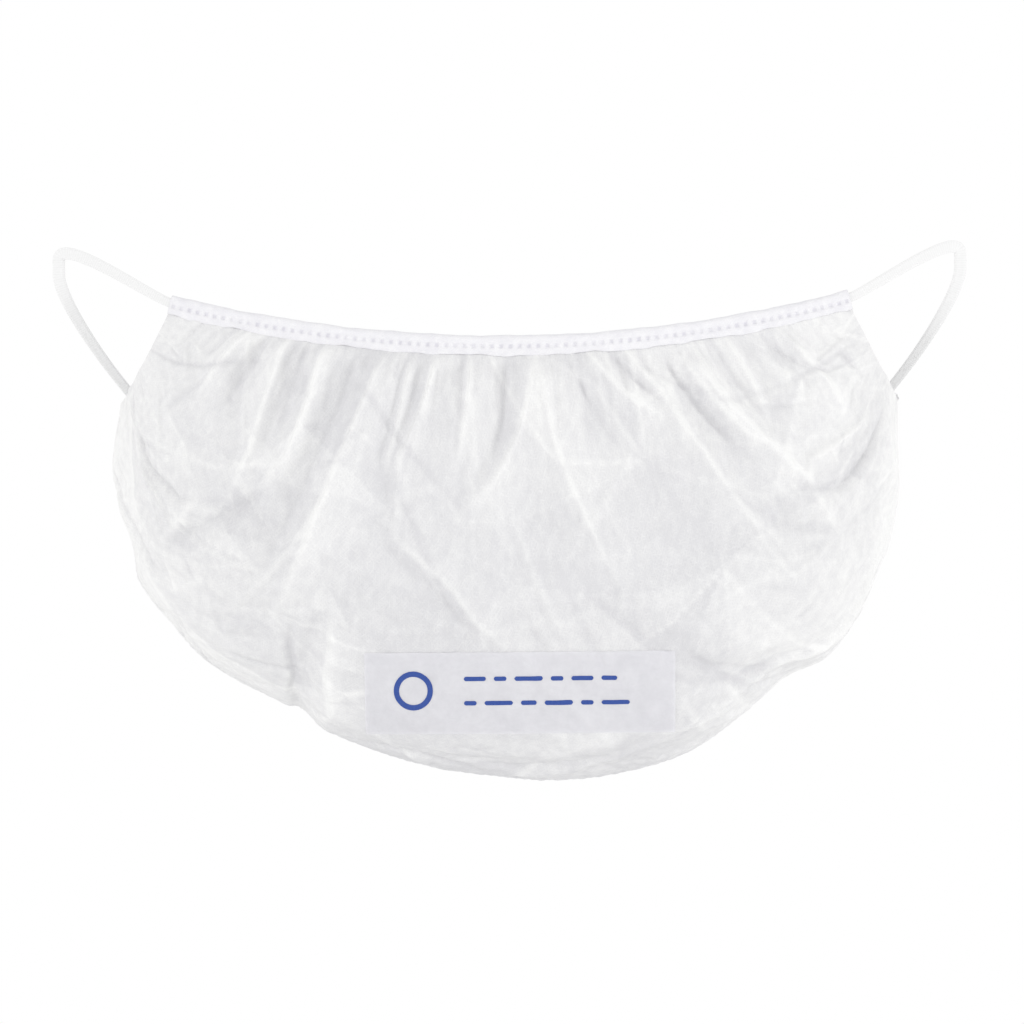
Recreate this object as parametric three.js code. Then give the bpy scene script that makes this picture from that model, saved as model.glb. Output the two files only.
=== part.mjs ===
// Disposable beard net: a gathered nonwoven pouch whose front and rear edges are bound in folded
// tape round one ring of flat elastic. The ring leaves the bindings at both sides as the ear loops.
//
// Millimetres, +Z up, +X to the right and +Y towards the wearer's neck, so the front faces -Y.
// The origin lies midway between the two places where the ears carry the loops.
//
// The cloth has two coordinates. "cloth" runs from -1 at the left side edge to +1 at the right one.
// "reach" runs from 0 at a binding to 1 at the keel, the line where the front panel turns into the
// rear one. Seen from the front the keel is the outline of the pouch.
import * as THREE from "three";

// The two bound edges, given by the elastic's centreline, which hangs in a parabola.
const frontSpan = 216; // between the front binding's ends
const frontEndDrop = 12; // the ends lie this far below the ear rests
const frontSag = 14; // the middle hangs this far below the ends
const frontBow = 20; // the middle stands this far forward of the ends
const cornerStep = 14; // a rear corner lies this far outside the front one
const cornerDrop = 28.6; // and this far below it
const cornerDepth = 14; // both corners lie this far from the plane of the ear rests
const rearSag = 72;
const rearBow = 20;

// The pouch.
const sideSwell = 4; // the sides bulge this far past the rear corners
const chinDepth = 52.3; // the pouch hangs this far below the rear binding's middle
const frontBelly = 17; // how far the front panel bellies forward
const rearBelly = 10;
const keelDepth = 2; // the keel lies this far behind the ear rests
const clothThickness = 1;
const gatherCount = 18; // gathers along each binding
const gatherHeight = 1.7;
const gatherLength = 0.2; // as a share of the reach
const frontRows = 13; // rows of faces from the front binding to the keel
const rearRows = 9;
const columnsPerGather = 4;

// The elastic and the tape folded over it.
const elasticWidth = 4; // in the ear loops, where it is slack
const boundWidth = 3; // inside the bindings, where it is stretched
const elasticThickness = 1;
const tapeThickness = 0.7;
const clothLead = 4; // the cloth leaves the tape along the tape's own direction
const clothGrip = 2.1; // how deep the cloth's edge sits in the tape
const clearance = 0.3; // between pieces that lie against each other
const bindingSteps = 44;

// The ear loops.
const earReach = 36.25; // the elastic's outermost run lies this far outside the front corner
const restLength = 4.5; // straight run that bears on the back of the ear
const frontLead = 6; // length of the bends' handles: out of the front binding,
const tipRise = 9; // above the rest,
const tipFall = 8; // below it,
const rearLead = 14; // and into the rear binding
const loopSteps = 12;

// The label bonded to the lower front. Its top and bottom edges run level.
const labelSides = { left: -0.25, right: 0.26 }; // cloth coordinates
const labelHeight = 26;
const labelRise = 16; // its lower edge lies this far above the pouch's lowest point
const labelThickness = 0.6;
const labelClearance = 0.6; // the cloth below it has coarser faces
const labelRows = 6;

const rearEndDrop = frontEndDrop + cornerDrop;
const pouchHalfWidth = frontSpan / 2 + cornerStep + sideSwell;
const pouchDrop = rearEndDrop + rearSag + chinDepth;
const foldTop = boundWidth / 2 + clearance + tapeThickness; // from the elastic up to the fold
const clothTop = boundWidth / 2 + clearance; // and down to the cloth's edge
const tapeLip = clothTop + clothGrip; // and to the tape's free edges
const clothFree = tapeLip + clearance; // and to where the cloth hangs free
const channelHalf = clothThickness / 2 + clearance;
const tapeHalf = channelHalf + tapeThickness;

// The keel, from one side edge round the bottom to the other: "across" is a share of the pouch's
// half width, and "drop" a share of its drop below the ear rests.
const keelRows = [
  { cloth: -1.0, across: -0.99, drop: 0.267 },
  { cloth: -0.905, across: -1.006, drop: 0.38 },
  { cloth: -0.84, across: -0.995, drop: 0.458 },
  { cloth: -0.77, across: -0.963, drop: 0.535 },
  { cloth: -0.705, across: -0.942, drop: 0.613 },
  { cloth: -0.63, across: -0.872, drop: 0.69 },
  { cloth: -0.54, across: -0.776, drop: 0.768 },
  { cloth: -0.4, across: -0.586, drop: 0.846 },
  { cloth: -0.36, across: -0.535, drop: 0.858 },
  { cloth: -0.31, across: -0.465, drop: 0.905 },
  { cloth: -0.15, across: -0.22, drop: 0.97 },
  { cloth: 0.03, across: 0.06, drop: 1.0 },
  { cloth: 0.15, across: 0.245, drop: 0.992 },
  { cloth: 0.28, across: 0.44, drop: 0.952 },
  { cloth: 0.4, across: 0.595, drop: 0.872 },
  { cloth: 0.48, across: 0.69, drop: 0.805 },
  { cloth: 0.56, across: 0.8, drop: 0.765 },
  { cloth: 0.64, across: 0.878, drop: 0.69 },
  { cloth: 0.74, across: 0.944, drop: 0.574 },
  { cloth: 0.84, across: 0.98, drop: 0.458 },
  { cloth: 0.92, across: 0.983, drop: 0.36 },
  { cloth: 1.0, across: 0.985, drop: 0.268 },
];

// The main folds of the front panel. Each follows a bent line through three places, each given by
// its cloth and reach. "width" is a share of the pouch's half width and "rise" one of the front
// belly: a fold that stands out is positive, and a tuck is negative.
const foldRows = [
  { from: [-0.76, 0.03], by: [-0.79, 0.12], to: [-0.8, 0.28], width: 0.045, rise: 0.22 },
  { from: [-0.64, 0.03], by: [-0.63, 0.2], to: [-0.63, 0.36], width: 0.045, rise: 0.28 },
  { from: [-0.53, 0.03], by: [-0.525, 0.16], to: [-0.59, 0.34], width: 0.045, rise: 0.28 },
  { from: [-0.45, 0.04], by: [-0.475, 0.2], to: [-0.5, 0.36], width: 0.04, rise: -0.26 },
  { from: [-0.36, 0.03], by: [-0.42, 0.25], to: [-0.455, 0.62], width: 0.055, rise: 0.38 },
  { from: [-0.2, 0.03], by: [-0.28, 0.12], to: [-0.25, 0.31], width: 0.045, rise: 0.32 },
  { from: [-0.25, 0.3], by: [-0.14, 0.36], to: [0.0, 0.48], width: 0.045, rise: 0.3 },
  { from: [-0.03, 0.03], by: [-0.035, 0.1], to: [-0.06, 0.18], width: 0.04, rise: -0.28 },
  { from: [0.07, 0.03], by: [0.01, 0.12], to: [-0.11, 0.24], width: 0.04, rise: 0.26 },
  { from: [0.1, 0.03], by: [0.13, 0.19], to: [0.22, 0.37], width: 0.05, rise: 0.38 },
  { from: [0.16, 0.03], by: [0.21, 0.08], to: [0.27, 0.16], width: 0.04, rise: -0.26 },
  { from: [0.22, 0.03], by: [0.3, 0.07], to: [0.4, 0.13], width: 0.04, rise: 0.24 },
  { from: [0.33, 0.03], by: [0.44, 0.16], to: [0.56, 0.55], width: 0.05, rise: 0.36 },
  { from: [0.48, 0.05], by: [0.56, 0.17], to: [0.68, 0.28], width: 0.045, rise: 0.26 },
  { from: [0.8, 0.08], by: [0.83, 0.2], to: [0.84, 0.38], width: 0.045, rise: 0.22 },
  { from: [-0.62, 0.36], by: [-0.74, 0.52], to: [-0.86, 0.9], width: 0.04, rise: -0.22 },
  { from: [0.66, 0.36], by: [0.73, 0.46], to: [0.84, 0.76], width: 0.04, rise: -0.22 },
  { from: [0.2, 0.4], by: [0.34, 0.56], to: [0.5, 0.9], width: 0.05, rise: -0.32 },
  { from: [-0.42, 0.58], by: [-0.39, 0.74], to: [-0.36, 0.95], width: 0.045, rise: -0.26 },
];

const lerp = THREE.MathUtils.lerp;
const smoothstep = THREE.MathUtils.smoothstep;
const rearward = new THREE.Vector3(0, 1, 0);

// The value of one column of a table at a place along another, on a curve through the rows.
function along(rows, key, column, at) {
  const next = rows.findIndex((row) => row[key] >= at);
  const i = Math.max(1, next < 0 ? rows.length - 1 : next);
  const [a, b] = [rows[i - 1], rows[i]];
  const slope = (j) => {
    const before = rows[Math.max(0, j - 1)];
    const after = rows[Math.min(rows.length - 1, j + 1)];
    return (after[column] - before[column]) / (after[key] - before[key]);
  };
  const gap = b[key] - a[key];
  const t = (at - a[key]) / gap;
  return (
    (2 * t ** 3 - 3 * t ** 2 + 1) * a[column] +
    (t ** 3 - 2 * t ** 2 + t) * gap * slope(i - 1) +
    (3 * t ** 2 - 2 * t ** 3) * b[column] +
    (t ** 3 - t ** 2) * gap * slope(i)
  );
}

// A bound edge: the elastic's centreline, its direction, and the way the tape hangs from it.
function boundEdge(halfSpan, side, endDrop, sag, bow) {
  return (cloth) => {
    const slack = 1 - cloth ** 2;
    const depth = side * (cornerDepth + bow * slack);
    const point = new THREE.Vector3(halfSpan * cloth, depth, -endDrop - sag * slack);
    const tangent = new THREE.Vector3(halfSpan, -2 * side * bow * cloth, 2 * sag * cloth).normalize();
    const down = rearward.clone().cross(tangent).normalize();
    return { point, tangent, down };
  };
}

const frontEdge = boundEdge(frontSpan / 2, -1, frontEndDrop, frontSag, frontBow);
const rearEdge = boundEdge(frontSpan / 2 + cornerStep, 1, rearEndDrop, rearSag, rearBow);

function below(edge, cloth, distance) {
  const { point, down } = edge(cloth);
  return point.addScaledVector(down, distance);
}

function keel(cloth) {
  const across = along(keelRows, "cloth", "across", cloth);
  const drop = along(keelRows, "cloth", "drop", cloth);
  return new THREE.Vector3(across * pouchHalfWidth, keelDepth, -drop * pouchDrop);
}

// A panel without its folds. From a binding to the keel each thread runs a quarter of an ellipse,
// with a belly added that is fullest in the middle of the cloth.
function panel(edge, side, belly) {
  return (cloth, reach) => {
    const start = below(edge, cloth, clothFree);
    const end = keel(cloth);
    const turn = (reach * Math.PI) / 2;
    const point = start.clone().lerp(end, Math.sin(turn));
    point.addScaledVector(edge(cloth).down, clothLead * Math.sin(turn) * Math.cos(turn));
    const swell = belly * (1 - cloth ** 2) * Math.sin(reach * Math.PI);
    point.y = lerp(start.y, end.y, 1 - Math.cos(turn)) + side * swell;
    return point;
  };
}

// How far a fold stands out at a place, from the place's distance to the fold's bent line.
function foldRise(fold, cloth, reach) {
  const flat = ([c, r]) => new THREE.Vector2(c * pouchHalfWidth, r * pouchDrop);
  const place = flat([cloth, reach]);
  const stops = [fold.from, fold.by, fold.to].map(flat);
  let nearest = Infinity;
  let travelled = 0;
  for (const part of [0, 1]) {
    const run = stops[part + 1].clone().sub(stops[part]);
    const share = THREE.MathUtils.clamp(place.clone().sub(stops[part]).dot(run) / run.lengthSq(), 0, 1);
    const distance = place.distanceTo(stops[part].clone().addScaledVector(run, share));
    if (distance < nearest) {
      nearest = distance;
      travelled = (part + share) / 2;
    }
  }
  const ends = smoothstep(travelled, -0.1, 0.2) * (1 - smoothstep(travelled, 0.6, 1.1));
  const free = smoothstep(reach, 0, 0.06);
  return fold.rise * frontBelly * ends * free * Math.exp(-((nearest / (fold.width * pouchHalfWidth)) ** 2));
}

// Gathers start at the tape's lip and die out down the cloth.
function gatherRise(cloth, reach) {
  const wave = Math.sin((cloth + 1) * Math.PI * gatherCount);
  return gatherHeight * wave * smoothstep(reach, 0, 0.04) * Math.exp(-reach / gatherLength);
}

// The rows of the pouch, from the front binding round the keel to the rear binding. Each is a
// function of cloth that gives the unfolded point and how far the folds push it out.
function pouchRows() {
  const front = panel(frontEdge, -1, frontBelly);
  const rear = panel(rearEdge, 1, rearBelly);
  const rows = [{ at: (c) => below(frontEdge, c, clothTop), rise: () => 0 }];
  for (let i = 0; i <= frontRows; i++) {
    const reach = (i / frontRows) ** 1.4;
    const rise = (c) => foldRows.reduce((sum, f) => sum + foldRise(f, c, reach), gatherRise(c, reach));
    rows.push({ at: (c) => front(c, reach), rise });
  }
  for (let i = rearRows - 1; i >= 0; i--) {
    const reach = (i / rearRows) ** 1.3;
    rows.push({ at: (c) => rear(c, reach), rise: (c) => gatherRise(c, reach) });
  }
  rows.push({ at: (c) => below(rearEdge, c, clothTop), rise: () => 0 });
  return rows;
}

// Outward normals of a grid of points, whose rows run from left to right.
function gridNormals(points) {
  const rowEnd = points.length - 1;
  const columnEnd = points[0].length - 1;
  return points.map((row, j) =>
    row.map((_, i) => {
      const across = row[Math.min(columnEnd, i + 1)].clone().sub(row[Math.max(0, i - 1)]);
      const downward = points[Math.min(rowEnd, j + 1)][i].clone().sub(points[Math.max(0, j - 1)][i]);
      return downward.cross(across).normalize();
    }),
  );
}

// The middle surface of the pouch's cloth as a grid of points and outward normals.
function pouchGrid() {
  const columns = gatherCount * columnsPerGather;
  const cloths = Array.from({ length: columns + 1 }, (_, i) => (2 * i) / columns - 1);
  const rows = pouchRows();
  const bare = rows.map((row) => cloths.map(row.at));
  const bareNormals = gridNormals(bare);
  const points = bare.map((row, j) =>
    row.map((point, i) => point.clone().addScaledVector(bareNormals[j][i], rows[j].rise(cloths[i]))),
  );
  return { cloths, points, normals: gridNormals(points) };
}

// A closed wall on both sides of a grid of points.
function wall(points, normals, thickness, lift = 0) {
  const [rowCount, columnCount] = [points.length, points[0].length];
  const positions = [];
  for (const offset of [lift + thickness / 2, lift - thickness / 2])
    points.forEach((row, j) =>
      row.forEach((point, i) => positions.push(...point.clone().addScaledVector(normals[j][i], offset))),
    );
  const outer = (j, i) => j * columnCount + i;
  const inner = (j, i) => rowCount * columnCount + outer(j, i);
  const faces = [];
  const quad = (a, b, c, d) => faces.push(a, b, c, a, c, d);
  for (let j = 0; j < rowCount - 1; j++)
    for (let i = 0; i < columnCount - 1; i++) {
      quad(outer(j, i), outer(j + 1, i), outer(j + 1, i + 1), outer(j, i + 1));
      quad(inner(j, i), inner(j, i + 1), inner(j + 1, i + 1), inner(j + 1, i));
    }
  const lastRow = rowCount - 1;
  const lastColumn = columnCount - 1;
  for (let i = 0; i < lastColumn; i++) {
    quad(outer(0, i), outer(0, i + 1), inner(0, i + 1), inner(0, i));
    quad(outer(lastRow, i + 1), outer(lastRow, i), inner(lastRow, i), inner(lastRow, i + 1));
  }
  for (let j = 0; j < lastRow; j++) {
    quad(outer(j + 1, 0), outer(j, 0), inner(j, 0), inner(j + 1, 0));
    quad(outer(j, lastColumn), outer(j + 1, lastColumn), inner(j + 1, lastColumn), inner(j, lastColumn));
  }
  return closedGeometry(positions, faces);
}

function closedGeometry(positions, faces) {
  const geometry = new THREE.BufferGeometry();
  geometry.setAttribute("position", new THREE.Float32BufferAttribute(positions, 3));
  geometry.setIndex(faces);
  geometry.computeVertexNormals();
  return geometry;
}

// A section carried along stations, each with its point, direction and the section's own outline.
// The outline's first coordinate is the thickness and its second runs down the station.
function sweep(stations, closed) {
  const corners = stations[0].section.length;
  const positions = [];
  for (const { point, tangent, down, section } of stations) {
    const through = tangent.clone().cross(down);
    for (const [thick, low] of section)
      positions.push(...point.clone().addScaledVector(through, thick).addScaledVector(down, low));
  }
  const faces = [];
  const last = closed ? stations.length : stations.length - 1;
  for (let s = 0; s < last; s++)
    for (let c = 0; c < corners; c++) {
      const [here, there] = [s * corners, ((s + 1) % stations.length) * corners];
      const d = (c + 1) % corners;
      faces.push(here + c, there + d, here + d, here + c, there + c, there + d);
    }
  if (!closed) {
    const outline = stations[0].section.map(([x, y]) => new THREE.Vector2(x, y));
    const end = (stations.length - 1) * corners;
    for (const [a, b, c] of THREE.ShapeUtils.triangulateShape(outline, []))
      faces.push(a, b, c, end + a, end + c, end + b);
  }
  return closedGeometry(positions, faces);
}

// Folded tape: a channel that opens downwards, with its fold's shoulders rounded off.
function bindingGeometry(edge) {
  const shoulder = tapeThickness * 1.2;
  const section = [
    [-tapeHalf, tapeLip],
    [-tapeHalf, shoulder - foldTop],
    [shoulder - tapeHalf, -foldTop],
    [tapeHalf - shoulder, -foldTop],
    [tapeHalf, shoulder - foldTop],
    [tapeHalf, tapeLip],
    [channelHalf, tapeLip],
    [channelHalf, tapeThickness - foldTop],
    [-channelHalf, tapeThickness - foldTop],
    [-channelHalf, tapeLip],
  ];
  const stations = Array.from({ length: bindingSteps + 1 }, (_, i) => ({
    ...edge((2 * i) / bindingSteps - 1),
    section,
  }));
  return sweep(stations, false);
}

// The elastic's route: along the front from right to left, round the left ear, along the rear
// from left to right, and round the right ear. Each station carries its width.
function elasticRoute() {
  const halfSpan = frontSpan / 2 + earReach;
  const up = new THREE.Vector3(0, 0, 1);
  const bound = (edge, heading) =>
    Array.from({ length: bindingSteps + 1 }, (_, i) => {
      const { point, tangent } = edge(heading * ((2 * i) / bindingSteps - 1));
      return { point, tangent: tangent.multiplyScalar(heading), width: boundWidth };
    });
  const bend = (start, end, startHandle, endHandle) => {
    const curve = new THREE.CubicBezierCurve3(
      start.point,
      start.point.clone().addScaledVector(start.tangent, startHandle),
      end.point.clone().addScaledVector(end.tangent, -endHandle),
      end.point,
    );
    return Array.from({ length: loopSteps - 1 }, (_, i) => {
      const t = (i + 1) / loopSteps;
      const width = lerp(start.width, end.width, smoothstep(t, 0, 1));
      return { point: curve.getPoint(t), tangent: curve.getTangent(t), width };
    });
  };
  const rest = (side) =>
    [-side, side].map((end) => ({
      point: new THREE.Vector3(side * halfSpan, 0, (end * restLength) / 2),
      tangent: up.clone().multiplyScalar(side),
      width: elasticWidth,
    }));
  const front = bound(frontEdge, -1);
  const rear = bound(rearEdge, 1);
  const [left, right] = [rest(-1), rest(1)];
  return [
    ...front,
    ...bend(front[bindingSteps], left[0], frontLead, tipRise),
    ...left,
    ...bend(left[1], rear[0], tipFall, rearLead),
    ...rear,
    ...bend(rear[bindingSteps], right[0], rearLead, tipFall),
    ...right,
    ...bend(right[1], front[0], tipRise, frontLead),
  ];
}

function elasticGeometry() {
  const half = elasticThickness / 2;
  const stations = elasticRoute().map(({ point, tangent, width }) => ({
    point,
    tangent,
    down: rearward.clone().cross(tangent).normalize(),
    section: [
      [-half, width / 2],
      [-half, -width / 2],
      [half, -width / 2],
      [half, width / 2],
    ],
  }));
  return sweep(stations, true);
}

// The label lies on the front panel. Its upright lines are the cloth's own columns and its two
// sides, and its level ones are found where each of those columns passes a height.
function labelGeometry(grid) {
  const { left, right } = labelSides;
  const inside = grid.cloths.filter((cloth) => cloth > left && cloth < right);
  const columns = [left, ...inside, right].map((cloth) => {
    const i = grid.cloths.findIndex((x) => x > cloth) - 1;
    const share = (cloth - grid.cloths[i]) / (grid.cloths[i + 1] - grid.cloths[i]);
    const blend = (field) => field.map((row) => row[i].clone().lerp(row[i + 1], share));
    return { points: blend(grid.points), normals: blend(grid.normals) };
  });
  const top = labelRise + labelHeight - pouchDrop;
  const heights = Array.from({ length: labelRows + 1 }, (_, k) => top - (k * labelHeight) / labelRows);
  const levels = heights.map((height) =>
    columns.map(({ points, normals }) => {
      const j = points.findIndex((point) => point.z < height) - 1;
      const share = (height - points[j].z) / (points[j + 1].z - points[j].z);
      return {
        point: points[j].clone().lerp(points[j + 1], share),
        normal: normals[j].clone().lerp(normals[j + 1], share).normalize(),
      };
    }),
  );
  const pick = (key) => levels.map((level) => level.map((place) => place[key]));
  const lift = clothThickness / 2 + labelClearance + labelThickness / 2;
  return wall(pick("point"), pick("normal"), labelThickness, lift);
}

const nonwoven = { color: 0xf2f2f3, roughness: 0.85, metalness: 0, side: THREE.DoubleSide };
const finishes = {
  pouch: new THREE.MeshStandardMaterial(nonwoven),
  tape: new THREE.MeshStandardMaterial({ ...nonwoven, color: 0xf8f8fa, roughness: 0.7 }),
  elastic: new THREE.MeshStandardMaterial({ color: 0xececec, roughness: 0.75, metalness: 0 }),
  label: new THREE.MeshStandardMaterial({ ...nonwoven, color: 0xe2e1e8, roughness: 0.6 }),
};

const beardNet = new THREE.Group();
const grid = pouchGrid();

function add(name, geometry, finish) {
  const mesh = new THREE.Mesh(geometry, finish);
  mesh.name = name;
  beardNet.add(mesh);
}

add("pouch", wall(grid.points, grid.normals, clothThickness), finishes.pouch);
add("front_binding", bindingGeometry(frontEdge), finishes.tape);
add("rear_binding", bindingGeometry(rearEdge), finishes.tape);
add("elastic_ear_loops", elasticGeometry(), finishes.elastic);
add("label_patch", labelGeometry(grid), finishes.label);

export default beardNet;
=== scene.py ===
import math

import bpy
import numpy as np
from mathutils import Matrix, Vector
from mathutils.geometry import delaunay_2d_cdt


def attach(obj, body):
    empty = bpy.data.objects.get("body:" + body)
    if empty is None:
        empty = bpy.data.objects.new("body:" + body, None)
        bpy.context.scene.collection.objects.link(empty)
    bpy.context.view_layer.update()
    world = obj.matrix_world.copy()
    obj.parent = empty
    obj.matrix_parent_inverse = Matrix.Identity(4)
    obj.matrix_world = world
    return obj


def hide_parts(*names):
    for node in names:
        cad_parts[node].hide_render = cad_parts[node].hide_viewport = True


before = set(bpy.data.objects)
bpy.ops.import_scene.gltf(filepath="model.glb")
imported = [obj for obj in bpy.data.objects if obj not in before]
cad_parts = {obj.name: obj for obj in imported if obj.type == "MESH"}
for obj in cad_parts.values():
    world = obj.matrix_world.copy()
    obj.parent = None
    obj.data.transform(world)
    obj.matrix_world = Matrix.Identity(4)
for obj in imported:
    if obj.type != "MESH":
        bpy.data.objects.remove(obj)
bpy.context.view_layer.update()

# Every size is in millimetres, in the frame of the solids, until a mesh is made.
MILLIMETRE = 0.001

# Bound edges: the elastic's centreline hangs in a parabola that also bows away from the face.
CORNER_DEPTH = 14.0
FRONT_EDGE = {"half_span": 108.0, "side": -1, "end_drop": 12.0, "sag": 14.0, "bow": 20.0}
REAR_EDGE = {"half_span": 122.0, "side": 1, "end_drop": 40.6, "sag": 72.0, "bow": 20.0}

# Pouch
POUCH_HALF_WIDTH = 126.0
POUCH_DROP = 164.9
REAR_LENGTH = 100.0  # cloth between the keel and the rear binding
KEEL_DEPTH = 2.0
FRONT_BELLY = 17.0
REAR_BELLY = 10.0
CLOTH_LEAD = 4.0  # the cloth leaves the tape along the tape's own direction
CLOTH_TOP = 1.8  # from the elastic down to the cloth's edge, inside the tape
CLOTH_FREE = 3.3  # and down to where it hangs free
PLUMP = 1.1  # how far the cloth comes out below the tape, to lie level with it
RIDGE_WIDTH = 1.3
SHARP_SIDE = 0.7  # width over which the doubled cloth beside a main fold ends
FLAT_WIDTH = 0.457  # the cut cloth, and its length below, in metres
FLAT_LENGTH = 0.215

# Tape: its fold lies above the elastic's centreline, and its two lips below
FOLD_TOP = 2.5
ROUND_START = -0.9  # the walls turn into the rounded fold here
TAPE_LIP = 3.9
TAPE_HALF = 1.5
WALL_POINTS = 18
FOLD_POINTS = 11
WELD_PITCH = 2.9
WELD_SIZE = 1.25
WELD_LOW = 1.0
WELD_DEPTH = 0.42
WELD_BAND = 0.2  # how far the whole row of welds is pressed in
RIPPLES = [(37, 0.08), (19, 0.06), (11.3, 0.05), (6.1, 0.03)]  # wave length and height
END_LENGTH = 5.0  # the tape closes towards its ends over this length
SHORTENING_LENGTH = 9.0  # its lips grow shorter over this one
SQUEEZE_LENGTH = 3.0  # and its inner walls come together over this one
LIP_WAVES = 2.6  # how far the lips and the fold's crown rise and fall, in ripples
CROWN_WAVES = 1.2
FRONT_TAPE = {"seed": 11, "end_taper": 0.12, "stations": 680}
REAR_TAPE = {"seed": 12, "end_taper": 0.75, "stations": 860}

# Label
LABEL_LEFT = -46.9
LABEL_RIGHT = 51.4
LABEL_TOP = -123.6
LABEL_BOTTOM = -149.4
LABEL_COLUMNS = 150
LABEL_ROWS = 40
LABEL_LIFT = 0.35  # the film and the ink, above the cloth
PRINT_LIFT = 0.42

# Elastic
ELASTIC_WIDTH = 4.0
BOUND_WIDTH = 3.0
ELASTIC_THICKNESS = 1.0
EAR_REACH = 36.25
REST_LENGTH = 4.5
FRONT_LEAD = 6.0
TIP_RISE = 9.0
TIP_FALL = 8.0
REAR_LEAD = 14.0
BOUND_STATIONS = 240
REST_STATIONS = 5
BEND_STEPS = 130
BAND_CORNERS = 44
BAND_GIRTH = 10.0
RIB_DEPTH = 0.08

# The keel, from one side edge round the bottom to the other: the place along the cloth, then a
# share of the pouch's half width, then a share of its drop.
KEEL = np.array(
    [
        (-1, -0.99, 0.267), (-0.905, -1.006, 0.38), (-0.84, -0.995, 0.458), (-0.77, -0.963, 0.535),
        (-0.705, -0.942, 0.613), (-0.63, -0.872, 0.69), (-0.54, -0.776, 0.768),
        (-0.4, -0.586, 0.846), (-0.36, -0.535, 0.858), (-0.31, -0.465, 0.905),
        (-0.15, -0.22, 0.97), (0.03, 0.06, 1), (0.15, 0.245, 0.992), (0.28, 0.44, 0.952),
        (0.4, 0.595, 0.872), (0.48, 0.69, 0.805), (0.56, 0.8, 0.765), (0.64, 0.878, 0.69),
        (0.74, 0.944, 0.574), (0.84, 0.98, 0.458), (0.92, 0.983, 0.36), (1, 0.985, 0.268),
    ]
)

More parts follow.
